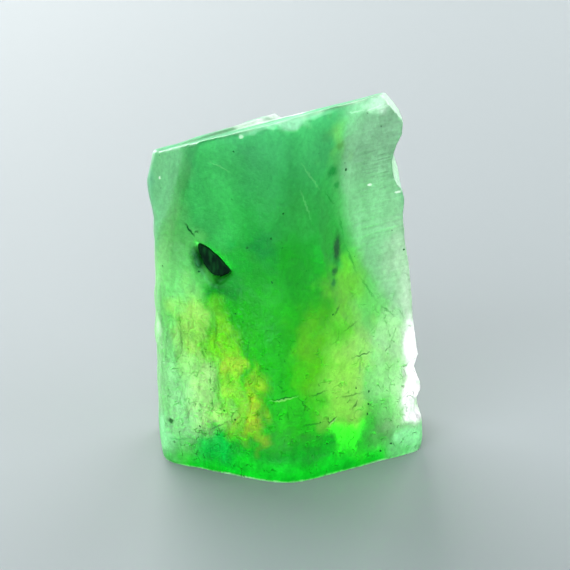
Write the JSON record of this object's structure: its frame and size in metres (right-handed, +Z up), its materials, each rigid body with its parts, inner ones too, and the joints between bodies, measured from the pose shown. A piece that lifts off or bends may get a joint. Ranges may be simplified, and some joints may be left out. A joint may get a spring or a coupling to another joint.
{
  "type": "raw emerald crystal",
  "caption": "Hexagonal raw emerald crystal, see-through green, standing on its flat broken foot, with a sloping cleaved top, chipped edges and a dark mica grain in one face.",
  "frame": {"origin": "middle of the flat broken foot that the crystal stands on", "axes": "+Z up along the crystal's growth direction, -Y towards the corner between its two widest faces, +X to the right of that view"},
  "size_m": [0.0084, 0.0074, 0.0113],
  "materials": {
    "emerald": "see-through green beryl, milky at the thin edges, with naturally etched and broken faces",
    "mica": "black mica with a dull pearly sheen"
  },
  "bodies": {
    "root": {"emerald_crystal": "emerald", "mica_grain": "mica"}
  },
  "joints": []
}
